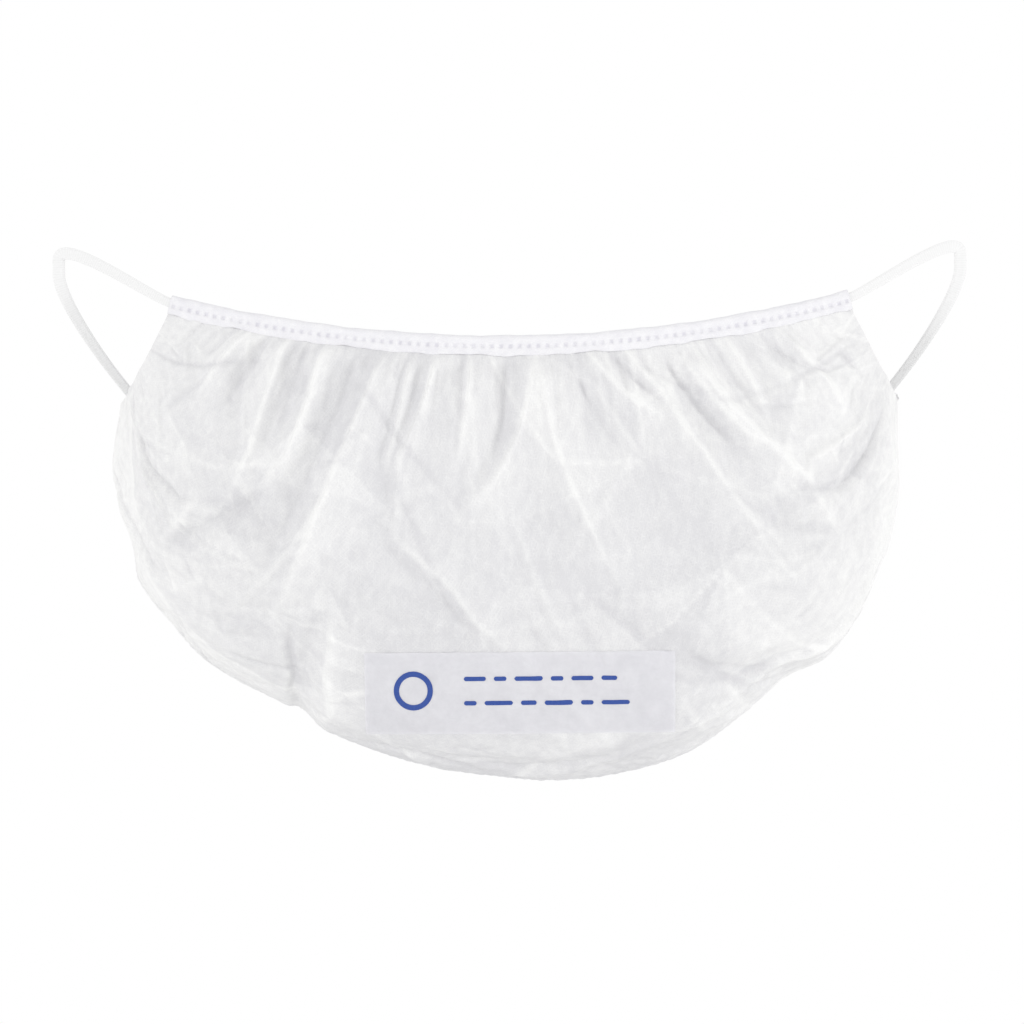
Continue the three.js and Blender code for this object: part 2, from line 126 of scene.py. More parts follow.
# Main folds of the front: places along the fold's line as (cloth, reach), then how far it stands
# out, and how far it slopes away to the left and to the right of the line.
FOLDS = [
    ([(-0.76, 0.01), (-0.79, 0.1), (-0.8, 0.24)], 2.2, 5.0, 7.0),
    ([(-0.7, 0.01), (-0.71, 0.08), (-0.73, 0.2)], -1.6, 4.0, 6.0),
    ([(-0.64, 0.0), (-0.63, 0.13), (-0.62, 0.24), (-0.63, 0.36)], 3.0, 9.0, 4.0),
    ([(-0.58, 0.0), (-0.575, 0.1), (-0.57, 0.2)], -1.6, 4.0, 6.0),
    ([(-0.53, 0.0), (-0.52, 0.1), (-0.53, 0.21), (-0.59, 0.34)], 3.2, 8.0, 5.0),
    ([(-0.43, 0.02), (-0.45, 0.13), (-0.47, 0.26), (-0.5, 0.42)], -2.0, 8.0, 9.0),
    ([(-0.36, 0.02), (-0.41, 0.2), (-0.43, 0.34), (-0.455, 0.6)], 4.6, 7.0, 13.0),
    ([(-0.28, 0.02), (-0.29, 0.14), (-0.3, 0.22)], 1.6, 2.0, 3.0),
    ([(-0.2, 0.0), (-0.22, 0.05), (-0.27, 0.17), (-0.25, 0.31)], 2.4, 3.0, 4.0),
    ([(-0.25, 0.3), (-0.17, 0.34), (-0.12, 0.37), (-0.08, 0.42), (0.0, 0.48)], 2.6, 3.0, 9.0),
    ([(-0.11, 0.02), (-0.12, 0.1), (-0.14, 0.2)], 1.8, 8.0, 9.0),
    ([(-0.01, 0.01), (-0.02, 0.09), (-0.05, 0.17)], -1.4, 7.0, 5.0),
    ([(0.07, 0.01), (0.02, 0.11), (-0.04, 0.18), (-0.13, 0.25)], 2.6, 4.0, 12.0),
    ([(0.08, 0.02), (0.11, 0.14), (0.16, 0.25), (0.22, 0.37)], 4.4, 9.0, 11.0),
    ([(0.16, 0.01), (0.21, 0.08), (0.27, 0.16)], -1.6, 5.0, 6.0),
    ([(0.22, 0.0), (0.3, 0.07), (0.4, 0.12)], 2.4, 4.0, 5.0),
    ([(0.28, 0.0), (0.34, 0.05), (0.42, 0.11)], -1.4, 3.0, 4.0),
    ([(0.33, 0.0), (0.4, 0.08), (0.46, 0.2), (0.51, 0.35), (0.56, 0.54)], 4.4, 9.0, 8.0),
    ([(0.43, 0.02), (0.49, 0.12), (0.56, 0.24)], -1.3, 5.0, 6.0),
    ([(0.48, 0.03), (0.53, 0.12), (0.57, 0.19), (0.68, 0.28)], 2.8, 5.0, 8.0),
    ([(0.52, 0.05), (0.6, 0.2), (0.67, 0.34), (0.68, 0.6)], 2.0, 5.0, 6.0),
    ([(0.62, 0.0), (0.64, 0.1), (0.64, 0.17)], 2.0, 3.0, 3.0),
    ([(0.72, 0.02), (0.78, 0.1), (0.84, 0.17), (0.93, 0.22)], -2.0, 6.0, 5.0),
    ([(0.8, 0.07), (0.83, 0.19), (0.84, 0.36)], 2.0, 5.0, 5.0),
    ([(-0.97, 0.5), (-0.83, 0.52), (-0.72, 0.45), (-0.6, 0.33)], -1.9, 5.0, 8.0),
    ([(-0.56, 0.3), (-0.61, 0.37), (-0.66, 0.47), (-0.7, 0.62)], -2.6, 6.0, 5.0),
    ([(0.64, 0.34), (0.73, 0.44), (0.83, 0.48), (0.96, 0.5)], -2.4, 5.0, 6.0),
    ([(0.7, 0.32), (0.8, 0.36), (0.9, 0.42)], 1.6, 4.0, 4.0),
    ([(0.14, 0.36), (0.2, 0.42), (0.26, 0.5), (0.34, 0.58), (0.44, 0.72), (0.51, 0.9)], -2.9, 7.0, 8.0),
    ([(0.4, 0.74), (0.6, 0.78), (0.78, 0.74)], 2.2, 7.0, 4.0),
    ([(-0.42, 0.56), (-0.39, 0.72), (-0.36, 0.93)], -1.3, 6.0, 5.0),
    ([(-0.34, 0.5), (-0.33, 0.64), (-0.3, 0.84)], 2.0, 5.0, 7.0),
    ([(-0.28, 0.9), (-0.16, 0.83), (-0.04, 0.92)], -1.6, 4.0, 4.0),
    ([(0.0, 0.48), (0.1, 0.6), (0.16, 0.72)], 1.4, 5.0, 7.0),
]

# Fine grid of the pouch
COLUMNS = 440
FRONT_ROWS = 150
REAR_ROWS = 58
HIDDEN_ROWS = 2
FRONT_CROWDING = 1.15  # rows lie closer to the binding
REAR_CROWDING = 1.2
CLOTHS = np.linspace(-1, 1, COLUMNS + 1)

# Chance marks of the cloth, each with its own seed
CHANCE_FOLDS = {"seed": 5, "count": 26, "lengths": (40, 110), "heights": (0.5, 1.6), "widths": (5, 14)}
PINCHES = {"seed": 6, "count": 50, "lengths": (16, 80), "heights": (0.3, 0.8), "widths": (0.9, 2.0)}
SCRATCHES = {
    "seed": 8,
    "count": 170,
    "lengths": (3, 11),
    "heights": (0.15, 0.4),
    "widths": (0.7, 1.1),
    "spread": 2.0,
}
BROAD_FACETS = {"seed": 21, "spacing": np.array([24.0, 38.0]), "height": 1.7}
SMALL_FACETS = {"seed": 22, "spacing": np.array([10.0, 14.0]), "height": 0.45}
FRONT_PLEATS = {"seed": 3, "count": 64}
REAR_PLEATS = {"seed": 4, "count": 64}
LOWEST = -5.5  # what all marks together may add to the bare panel
HIGHEST = 6.5
LABEL_MARGIN = 7.0  # the cloth is calmed this far round the label
EVEN = 0.42  # density mark of cloth that is neither creased nor pressed

# Relaxing: on every third row and column, with a limit to what a point may move
COARSE_STEP = 3
CLOTH_FRAMES = 24
MOVE_LIMIT = 4.0
SOFTEST_HOLD = 0.14


def unit(vectors):
    """Vectors scaled to length one."""
    return vectors / np.linalg.norm(vectors, axis=-1, keepdims=True)


def smooth_step(low, high, at):
    """0 below low and 1 above high, with 3 t squared less 2 t cubed between them."""
    t = np.clip((at - low) / (high - low), 0, 1)
    return t * t * (3 - 2 * t)


def smooth_curve(knots, values, at):
    """Cubic curve through the values at the knots. Each knot's slope is that between its neighbours."""
    before = np.maximum(np.arange(len(knots)) - 1, 0)
    after = np.minimum(np.arange(len(knots)) + 1, len(knots) - 1)
    slope = (values[after] - values[before]) / (knots[after] - knots[before])
    i = np.clip(np.searchsorted(knots, at), 1, len(knots) - 1)
    gap = knots[i] - knots[i - 1]
    t = (at - knots[i - 1]) / gap
    return (
        (2 * t**3 - 3 * t**2 + 1) * values[i - 1]
        + (t**3 - 2 * t**2 + t) * gap * slope[i - 1]
        + (3 * t**2 - 2 * t**3) * values[i]
        + (t**3 - t**2) * gap * slope[i]
    )


def bound_edge(cloth, half_span, side, end_drop, sag, bow):
    """Elastic inside a binding: x grows with cloth, while y and z follow one less cloth squared.
    Gives its points, its directions, and the ways that the tape hangs from it."""
    slack = 1 - cloth**2
    depth = side * (CORNER_DEPTH + bow * slack)
    point = np.stack([half_span * cloth, depth, -end_drop - sag * slack], -1)
    along_x = np.full_like(cloth, half_span)
    tangent = unit(np.stack([along_x, -2 * side * bow * cloth, 2 * sag * cloth], -1))
    down = unit(np.cross([0.0, 1.0, 0.0], tangent))
    return point, tangent, down


def keel(cloth):
    """Line where the front panel turns into the rear one: a curve through the keel's rows."""
    across = smooth_curve(KEEL[:, 0], KEEL[:, 1], cloth) * POUCH_HALF_WIDTH
    drop = smooth_curve(KEEL[:, 0], KEEL[:, 2], cloth) * POUCH_DROP
    return np.stack([across, np.full_like(cloth, KEEL_DEPTH), -drop], -1)


def bare_panel(cloth, reach, edge, belly):
    """Panel without folds. Each thread runs a quarter of an ellipse from the binding to the keel.
    It sets out along the tape's own direction, less so where it is short, and has a belly added
    that is fullest halfway and in the middle of the cloth."""
    point, _, down = bound_edge(cloth, **edge)
    start = point + down * CLOTH_FREE
    turn = (reach * math.pi / 2)[:, None, None]
    way = keel(cloth) - start
    length = np.linalg.norm(way, axis=-1, keepdims=True)
    lead = CLOTH_LEAD * smooth_step(0, 40, length)
    surface = start + way * np.sin(turn)
    surface = surface + down * lead * np.sin(turn) * np.cos(turn)
    swell = belly * (1 - cloth**2) * np.sin(reach * math.pi)[:, None]
    surface[..., 1] = start[:, 1] + (KEEL_DEPTH - start[:, 1]) * (1 - np.cos(turn[..., 0]))
    surface[..., 1] += edge["side"] * swell
    return surface


def hidden_rows(cloth, edge):
    """Cloth inside the tape, from its cut edge down to where it hangs free."""
    point, _, down = bound_edge(cloth, **edge)
    depths = np.linspace(CLOTH_TOP, CLOTH_FREE, HIDDEN_ROWS + 1)[:-1]
    return point + down * depths[:, None, None]


def grid_normals(points):
    """Outward normals of a grid whose rows run from left to right and whose first row is on top."""
    return unit(np.cross(np.gradient(points, axis=0), np.gradient(points, axis=1)))


def crease(flat, stops, rise, left, right):
    """Height of a crease: highest on the line through the stops, and falling straight to nothing
    over its widths to the left and right. It fades out towards both ends of the line."""
    stops = np.asarray(stops) * (POUCH_HALF_WIDTH, POUCH_DROP)
    nearest = np.full(flat.shape[:-1], np.inf)
    width = np.ones_like(nearest)
    travelled = np.zeros_like(nearest)
    for part, (start, end) in enumerate(zip(stops[:-1], stops[1:])):
        run = end - start
        share = np.clip((flat - start) @ run / (run @ run), 0, 1)
        away = flat - start - share[..., None] * run
        distance = np.hypot(away[..., 0], away[..., 1])
        closer = distance < nearest
        nearest = np.where(closer, distance, nearest)
        side = run[0] * away[..., 1] - run[1] * away[..., 0]
        width = np.where(closer, np.where(side > 0, left, right), width)
        travelled = np.where(closer, (part + share) / (len(stops) - 1), travelled)
    ends = smooth_step(-0.12, 0.12, travelled) * (1 - smooth_step(0.6, 1.05, travelled))
    rounded = np.sqrt(nearest**2 + 0.16) - 0.4
    return rise * ends * np.clip(1 - rounded / width, 0, 1) ** 1.25


def pleats(flat_x, below, seed, count):
    """Gathers along a binding: narrow ridges that start at the tape, lean a little and die out."""
    draw = np.random.default_rng(seed)
    places = (np.arange(count) + draw.uniform(0.15, 0.85, count)) / count * 2 - 1
    total = np.zeros(np.broadcast_shapes(flat_x.shape, below.shape))
    for place in places:
        lean = 0.28 * place + draw.normal(0, 0.1)
        width = draw.uniform(1.1, 2.4)
        length = draw.uniform(6, 26)
        height = draw.uniform(0.5, 1.5) * draw.choice([1, 1, -1])
        distance = np.abs(flat_x - place * POUCH_HALF_WIDTH - lean * below)
        spread = width * (1 + below / 40)
        total += height * np.clip(1 - distance / spread, 0, 1) ** 1.2 * np.exp(-below / length)
    return total


def crumple(flat, seed, count, lengths, heights, widths, spread=0.55):
    """Straight creases all over the cloth. They fan down from the binding, each turned by chance."""
    draw = np.random.default_rng(seed)
    total = np.zeros(flat.shape[:-1])
    for _ in range(count):
        middle = np.array([draw.uniform(-1, 1), draw.uniform(0.05, 1.6)])
        fan = middle[0] * 0.6 + draw.normal(0, spread)
        half = draw.uniform(*lengths) / 2
        step = np.array([math.sin(fan) * half / POUCH_HALF_WIDTH, math.cos(fan) * half / POUCH_DROP])
        height = draw.uniform(*heights) * draw.choice([1, -1])
        total += crease(flat, [middle - step, middle + step], height, *draw.uniform(*widths, 2))
    return total


def facets(flat, seed, spacing, height):
    """Crumpled cloth as a net of triangles between chance places, each place at its own height.
    Gives the height, how near each point lies to a bright triangle edge, and its triangle's tone."""
    draw = np.random.default_rng(seed)
    low = flat.min(axis=(0, 1)) - spacing
    high = flat.max(axis=(0, 1)) + spacing
    steps = [np.arange(low[k], high[k] + spacing[k], spacing[k]) for k in (0, 1)]
    columns, rows = np.meshgrid(*steps)
    places = np.stack([columns.ravel(), rows.ravel()], -1)
    places = places + draw.uniform(-0.5, 0.5, places.shape) * spacing
    heights = draw.uniform(-height, height, len(places))
    triangles = delaunay_2d_cdt([Vector(place) for place in places], [], [], 0, 1e-6)[2]
    brightness = {}
    rise = np.zeros(flat.shape[:-1])
    ridge = np.zeros_like(rise)
    tone = np.zeros_like(rise)
    for corners in triangles:
        ends = places[list(corners)]
        area = np.cross(ends[1] - ends[0], ends[2] - ends[0])
        box = ((flat >= ends.min(axis=0)) & (flat <= ends.max(axis=0))).all(-1)
        near = flat[box]
        shares = []
        lines = []
        for k in range(3):
            start, end = ends[(k + 1) % 3], ends[(k + 2) % 3]
            share = np.cross(end - start, near - start) / area
            key = tuple(sorted((corners[(k + 1) % 3], corners[(k + 2) % 3])))
            glow = brightness.setdefault(key, max(draw.normal(0, 0.5), 0))
            away = share * abs(area) / np.linalg.norm(end - start)
            shares.append(share)
            lines.append(glow * np.clip(1 - away / RIDGE_WIDTH, 0, 1))
        inside = np.min(shares, axis=0) >= 0
        picked = np.zeros_like(box)
        picked[box] = inside
        rise[picked] = (np.array(shares).T @ heights[list(corners)])[inside]
        ridge[picked] = np.max(lines, axis=0)[inside]
        # Random tone for each triangle; in the cloth's colour it stands partly for painted shade of the
        # triangle's tilt
        tone[picked] = draw.normal(0, 1)
    return rise, ridge, tone


def pouch_grid():
    """Bare panels joined at the keel, with the rows inside both tapes. Gives the points, and each
    row's distance from the front tape and from the rear one."""
    front_reach = np.linspace(0, 1, FRONT_ROWS + 1) ** FRONT_CROWDING
    rear_reach = (np.linspace(1, 0, REAR_ROWS + 1) ** REAR_CROWDING)[1:]
    bare = np.concatenate(
        [
            hidden_rows(CLOTHS, FRONT_EDGE),
            bare_panel(CLOTHS, front_reach, FRONT_EDGE, FRONT_BELLY),
            bare_panel(CLOTHS, rear_reach, REAR_EDGE, REAR_BELLY),
            hidden_rows(CLOTHS, REAR_EDGE)[::-1],
        ]
    )
    tucked = np.zeros(HIDDEN_ROWS)
    from_front = np.concatenate([tucked, front_reach * POUCH_DROP])
    from_rear = np.concatenate([rear_reach * REAR_LENGTH, tucked])
    return bare, from_front, from_rear


def cloth_marks(flat, from_front, from_rear):
    """Height of all folds, facets, gathers and small creases, and how far they whiten the cloth where
    they stand out, because cloth along a ridge lies double. Where they sink they darken it, as painted
    shade in the valleys. Beside a main fold it is double on one side, up to a sharp edge, and beside a
    main valley it has a band of painted shade. Each facet has a random tone, partly uneven thickness
    and partly painted shade for its tilt. The cloth is darker towards the middle, and the low parts of
    its sides, the right one most, are lighter as painted light."""
    folds = crumple(flat, **CHANCE_FOLDS)
    pinches = crumple(flat, **PINCHES)
    scratches = crumple(flat, **SCRATCHES)
    broad_rise, broad_ridge, broad_tone = facets(flat, **BROAD_FACETS)
    small_rise, small_ridge, small_tone = facets(flat, **SMALL_FACETS)
    lines = np.zeros_like(folds)
    doubled_and_valley_shade = np.zeros_like(folds)
    for stops, height, left, right in FOLDS:
        sign = np.sign(height)
        folds = folds + crease(flat, stops, height, left, right)
        lines = lines + crease(flat, stops, sign, RIDGE_WIDTH, RIDGE_WIDTH)
        doubled_and_valley_shade = doubled_and_valley_shade + crease(flat, stops, sign, SHARP_SIDE, 1.3 * right)
    flat_x = CLOTHS * POUCH_HALF_WIDTH
    front_gathers = pleats(flat_x, from_front[:, None], **FRONT_PLEATS)
    rear_gathers = pleats(flat_x, from_rear[:, None], **REAR_PLEATS)
    gathers = np.concatenate([front_gathers, rear_gathers])
    rise = 0.85 * folds + 0.5 * lines + broad_rise + small_rise + pinches + scratches + gathers
    # Raised marks whiten the cloth where it lies double; sunk ones darken it, as painted shade in the
    # valleys. The facet tones are partly uneven thickness and partly painted shade for each facet's
    # tilt.
    whiteness_with_painted_light = EVEN + 0.03 * folds + 0.3 * pinches + 0.6 * scratches + 0.2 * gathers
    whiteness_with_painted_light = whiteness_with_painted_light + 0.22 * np.clip(lines, -0.3, 1) + 0.16 * np.clip(doubled_and_valley_shade, -0.4, 1)
    whiteness_with_painted_light = whiteness_with_painted_light + 0.3 * broad_ridge + 0.15 * small_ridge
    whiteness_with_painted_light = whiteness_with_painted_light + 0.075 * broad_tone + 0.035 * small_tone
    # Painted light: the low parts of both sides are whitened, the right one most. The cloth is also
    # made darker towards the middle.
    low_down = np.concatenate([smooth_step(60, 150, from_front), np.ones(len(from_rear))])[:, None]
    painted_low_side_light = 0.24 * smooth_step(0.15, 0.5, np.abs(CLOTHS)) + 0.15 * smooth_step(0.2, 0.6, CLOTHS)
    whiteness_with_painted_light = whiteness_with_painted_light - 0.3 * (1 - CLOTHS**2) ** 2 + low_down * painted_low_side_light
    return rise, np.clip(whiteness_with_painted_light, 0, 1)


def over_label(bare):
    """1 on the cloth behind the label and 0 away from it, with a soft margin all round."""
    across, height = bare[..., 0], bare[..., 2]
    return (
        smooth_step(LABEL_LEFT - LABEL_MARGIN, LABEL_LEFT + 1, across)
        * smooth_step(-LABEL_RIGHT - LABEL_MARGIN, 1 - LABEL_RIGHT, -across)
        * smooth_step(LABEL_BOTTOM - LABEL_MARGIN, LABEL_BOTTOM + 1, height)
        * smooth_step(-LABEL_TOP - LABEL_MARGIN, 1 - LABEL_TOP, -height)
        * (bare[..., 1] < KEEL_DEPTH)
    )


def calmed(rise, bare, along, from_tape):
    """Height of the marks, held back where the cloth is held: next to the tapes, at the side edges,
    at the keel and behind the label. Just below the tapes the cloth plumps out to meet them."""
    nearby = smooth_step(0, 3, from_tape)
    free = smooth_step(0, 8, from_tape)
    to_side = POUCH_HALF_WIDTH - np.abs(CLOTHS * POUCH_HALF_WIDTH)
    to_keel = np.abs(along - POUCH_DROP)
    rise = np.clip(rise, LOWEST, HIGHEST) * (0.35 * nearby + 0.65 * free)[:, None]
    rise = rise * (0.25 + 0.75 * smooth_step(0, 12, to_side))
    rise = rise * (0.3 + 0.7 * smooth_step(3, 30, to_keel))[:, None]
    plump = (0.35 + 0.65 * smooth_step(0, 1.2, from_tape)) * (1 - smooth_step(2, 16, from_tape))
    rise = rise + PLUMP * plump[:, None] * smooth_step(0, 6, to_side)
    return rise * (1 - 0.8 * over_label(bare))


def pouch_surface():
    """Grid of the pouch before it is relaxed: the bare panels, pushed out along their normals by
    the calmed marks. Gives the points, each row's distance along the cloth, and how white the
    cloth is, painted light and shade included."""
    bare, from_front, from_rear = pouch_grid()
    along = np.concatenate([from_front, POUCH_DROP + REAR_LENGTH - from_rear])
    flat = np.stack(np.broadcast_arrays(CLOTHS * POUCH_HALF_WIDTH, along[:, None]), -1)
    rise, whiteness_with_painted_light = cloth_marks(flat, from_front, from_rear)
    rise = calmed(rise, bare, along, np.concatenate([from_front, from_rear]))
    return bare + grid_normals(bare) * rise[..., None], along, whiteness_with_painted_light


def stretch_weights(coarse_at, fine_at):
    """Matrix that carries values at the coarse places to the fine ones along a cubic curve."""
    return np.stack([smooth_curve(coarse_at, column, fine_at) for column in np.eye(len(coarse_at))], -1)


def relaxed(points):
    """The grid after a cloth simulation on every third row and column. The cloth is held at its
    bindings and softly elsewhere, has a little more room than it needs, and so it buckles."""
    rows = np.unique(np.append(np.arange(0, len(points), COARSE_STEP), len(points) - 1))
    columns = np.unique(np.append(np.arange(0, COLUMNS + 1, COARSE_STEP), COLUMNS))
    coarse = points[np.ix_(rows, columns)]
    cloth_object = grid_object("cloth_to_relax", coarse)
    from_binding = np.minimum(rows, len(points) - 1 - rows)
    from_side = np.minimum(columns, COLUMNS - columns)
    from_keel = np.abs(rows - HIDDEN_ROWS - FRONT_ROWS)
    softness = smooth_step(3, 24, from_binding) * smooth_step(-15, 24, from_keel)
    softness = softness[:, None] * smooth_step(-6, 30, from_side)
    levels = np.round(1 - (1 - SOFTEST_HOLD) * softness, 1)
    held = cloth_object.vertex_groups.new(name="held")
    for level in np.unique(levels):
        picked = np.nonzero((levels == level).ravel())[0]
        held.add(picked.tolist(), float(level), "REPLACE")
    modifier = cloth_object.modifiers.new("cloth", "CLOTH")
    settings = modifier.settings
    settings.quality = 6
    settings.mass = 0.1
    settings.tension_stiffness = 12
    settings.compression_stiffness = 12
    settings.shear_stiffness = 4
    settings.bending_stiffness = 0.4
    settings.vertex_group_mass = held.name
    settings.pin_stiffness = 1.0
    settings.shrink_min = -0.012
    settings.effector_weights.gravity = 0.05
    modifier.collision_settings.use_collision = False
    modifier.point_cache.frame_start = 1
    modifier.point_cache.frame_end = CLOTH_FRAMES
    scene = bpy.context.scene
    for number in range(1, CLOTH_FRAMES + 1):
        scene.frame_set(number)
    finished = cloth_object.evaluated_get(bpy.context.evaluated_depsgraph_get()).data
    moved = np.empty(coarse.size)
    finished.vertices.foreach_get("co", moved)
    shift = moved.reshape(coarse.shape) / MILLIMETRE - coarse
    bpy.data.objects.remove(cloth_object)
    scene.frame_set(1)
    length = np.linalg.norm(shift, axis=-1, keepdims=True)
    shift = shift * np.minimum(1, MOVE_LIMIT / np.maximum(length, 1e-6))
    down = stretch_weights(rows.astype(float), np.arange(len(points), dtype=float))
    across = stretch_weights(columns.astype(float), np.arange(COLUMNS + 1, dtype=float))
    return points + np.einsum("rj,jkd,ck->rcd", down, shift, across)


def grid_faces(rows, columns, closed_rows=False, closed_columns=False):
    """Corner numbers of the quads of a grid, in the order that turns them outwards."""
    row = np.arange(rows if closed_rows else rows - 1)[:, None]
    column = np.arange(columns if closed_columns else columns - 1)[None, :]
    below_row = (row + 1) % rows
    next_column = (column + 1) % columns
    corners = [
        row * columns + column,
        below_row * columns + column,
        below_row * columns + next_column,
        row * columns + next_column,
    ]
    return np.stack([np.broadcast_to(c, (len(row), column.size)) for c in corners], -1).reshape(-1, 4)


def mesh_object(name, points, faces, uv=None):
    """Object at the origin from points in millimetres, faces, and flat places. A face with more
    than four corners closes an end, and is left flat."""
    mesh = bpy.data.meshes.new(name)
    mesh.vertices.add(len(points))
    mesh.vertices.foreach_set("co", (points * MILLIMETRE).ravel())
    sizes = np.array([len(face) for face in faces])
    corners = np.concatenate([np.ravel(face) for face in faces])
    mesh.loops.add(len(corners))
    mesh.loops.foreach_set("vertex_index", corners)
    mesh.polygons.add(len(sizes))
    mesh.polygons.foreach_set("loop_start", np.concatenate([[0], np.cumsum(sizes)[:-1]]))
    mesh.polygons.foreach_set("use_smooth", sizes <= 4)
    mesh.update(calc_edges=True)
    if uv is not None:
        layer = mesh.uv_layers.new(name="flat")
        layer.uv.foreach_set("vector", uv[corners].ravel())
    mesh.validate()
    piece = bpy.data.objects.new(name, mesh)
    bpy.context.scene.collection.objects.link(piece)
    return piece


def grid_object(name, points, uv=None, closed_rows=False, closed_columns=False):
    """Object from a grid of points, with its flat places in metres."""
    faces = grid_faces(*points.shape[:2], closed_rows, closed_columns)
    flat_uv = None if uv is None else uv.reshape(-1, 2)
    return mesh_object(name, points.reshape(-1, 3), faces, flat_uv)


def swept(stations, thick, low):
    """Section carried along stations: each row of thick and low is that station's outline, across
    and down from its point."""
    point, tangent, down = stations
    through = np.cross(tangent, down)
    return point[:, None] + through[:, None] * thick[..., None] + down[:, None] * low[..., None]


def travelled_length(points):
    """Distance along a line of points, from its first."""
    steps = np.linalg.norm(np.diff(points, axis=0), axis=-1)
    return np.concatenate([[0], np.cumsum(steps)])


def rounded_rectangle(half_thick, half_low, power, count):
    """Outline of a rounded rectangle: the cosine and sine of an even turn, each to a power that
    draws the round towards its corners."""
    angle = np.linspace(0, 2 * math.pi, count, endpoint=False)
    cosine, sine = np.cos(angle), np.sin(angle)
    thick = np.sign(cosine) * np.abs(cosine) ** power * half_thick
    low = np.sign(sine) * np.abs(sine) ** power * half_low
    return thick, low


def tape_piece(name, edge, seed, end_taper, stations):
    """Folded tape. Its section is a channel that opens downwards, rounded over the elastic. Along
    the tape its walls swell and pinch a little, square welds are pressed into both, and the lips
    thin out. Towards its ends the channel closes and the lips grow shorter."""
    cloth = np.linspace(-1, 1, stations)
    point, tangent, down = bound_edge(cloth, **edge)
    distance = travelled_length(point)[:, None]
    to_end = np.minimum(distance, distance[-1] - distance)
    draw = np.random.default_rng(seed)
    ripple = sum(
        amount * np.sin(distance * 2 * math.pi / length + draw.uniform(0, 6.28))
        for length, amount in RIPPLES
    )

    wall_low = np.linspace(TAPE_LIP, ROUND_START, WALL_POINTS)
    arc = np.linspace(0, math.pi, FOLD_POINTS + 2)[1:-1]
    wall_thick = np.full(WALL_POINTS, TAPE_HALF)
    outer_thick = np.concatenate([-wall_thick, -np.cos(arc) * TAPE_HALF, wall_thick])
    fold_low = ROUND_START - np.sin(arc) * (FOLD_TOP + ROUND_START)
    outer_low = np.concatenate([wall_low, fold_low, wall_low[::-1]])

    across_weld = np.abs((distance / WELD_PITCH) % 1 - 0.5) * WELD_PITCH
    down_weld = np.abs(outer_low - WELD_LOW)
    inner_edge, outer_edge = WELD_SIZE / 2 - 0.3, WELD_SIZE / 2 + 0.2
    weld_along = 1 - smooth_step(inner_edge, outer_edge, across_weld)
    weld = weld_along * (1 - smooth_step(inner_edge, outer_edge, down_weld))
    band = 1 - smooth_step(0.4, 1.3, down_weld)
    lip = smooth_step(1.8, TAPE_LIP, outer_low)
    upright = smooth_step(-1.6, 0.0, outer_low)
    swell = ripple * upright - WELD_DEPTH * weld - WELD_BAND * band + lip * (0.1 + 0.8 * ripple)
    closing = 1 - 0.4 * (1 - smooth_step(0, END_LENGTH, to_end))
    thick = (outer_thick * (1 - 0.3 * lip) + np.sign(outer_thick) * swell) * closing

    shortening = 1 - end_taper * (1 - smooth_step(0, SHORTENING_LENGTH, to_end))
    crown = smooth_step(1.5, FOLD_TOP, -outer_low)
    low = np.where(outer_low > 0, outer_low * shortening, outer_low)
    low = low + lip * LIP_WAVES * ripple - crown * CROWN_WAVES * ripple
    # The inner wall, from one lip over the elastic to the other, and how far its ends are squeezed
    inner_thick = np.array([0.55, 0.6, 0.6, -0.6, -0.6, -0.55])
    inner_low = np.array([TAPE_LIP - 0.15, 1.0, -1.7, -1.7, 1.0, TAPE_LIP - 0.15])
    at_lip = np.array([1, 0, 0, 0, 0, 1])
    squeeze = np.array([0.9, 0.9, 0.1, 0.1, 0.9, 0.9])
    inner_low = np.where(inner_low > 0, inner_low * shortening, inner_low)
    inner_low = inner_low + at_lip * LIP_WAVES * ripple
    inner_thick = inner_thick * (1 - squeeze * (1 - smooth_step(0, SQUEEZE_LENGTH, to_end)))
    thick = np.concatenate([thick, inner_thick], 1)
    low = np.concatenate([low, inner_low], 1)

    points = swept((point, tangent, down), thick, low)
    section_step = np.concatenate([np.abs(np.diff(low[0])) + np.abs(np.diff(thick[0])), [0.2]])
    around = np.concatenate([[0], np.cumsum(section_step)[:-1]])
    uv = np.stack(np.broadcast_arrays(distance, around), -1) * MILLIMETRE
    body = grid_faces(len(cloth), thick.shape[1], closed_columns=True)
    piece = capped(name, points, body, uv)
    pressed = np.zeros(thick.shape)
    pressed[:, : weld.shape[1]] = weld
    firmness = np.clip(0.65 + 3 * ripple, 0.25, 1)
    values = np.clip(EVEN - 0.5 * pressed * firmness, 0, 1)
    mark_points(piece, "pressed", values)
    return piece


def mark_points(piece, name, values):
    """Attribute with one value for each point of a piece, for its material to read."""
    piece.data.attributes.new(name, "FLOAT", "POINT").data.foreach_set("value", values.ravel())


def capped(name, points, body, uv):
    """Object from a tube of points, with both ends closed by a face."""
    rows, corners = points.shape[:2]
    first = np.arange(corners)
    last = (rows - 1) * corners + first
    faces = [*body, first, last[::-1]]
    return mesh_object(name, points.reshape(-1, 3), faces, uv.reshape(-1, 2))


def bezier(start, handle_start, handle_end, end, count):
    """Cubic curve and its directions at places between its two ends, without the ends."""
    t = np.linspace(0, 1, count + 1)[1:-1, None]
    point = (
        (1 - t) ** 3 * start
        + 3 * (1 - t) ** 2 * t * handle_start
        + 3 * (1 - t) * t**2 * handle_end
        + t**3 * end
    )
    tangent = (
        (1 - t) ** 2 * (handle_start - start)
        + 2 * (1 - t) * t * (handle_end - handle_start)
        + t**2 * (end - handle_end)
    )
    return point, unit(tangent), t[:, 0]


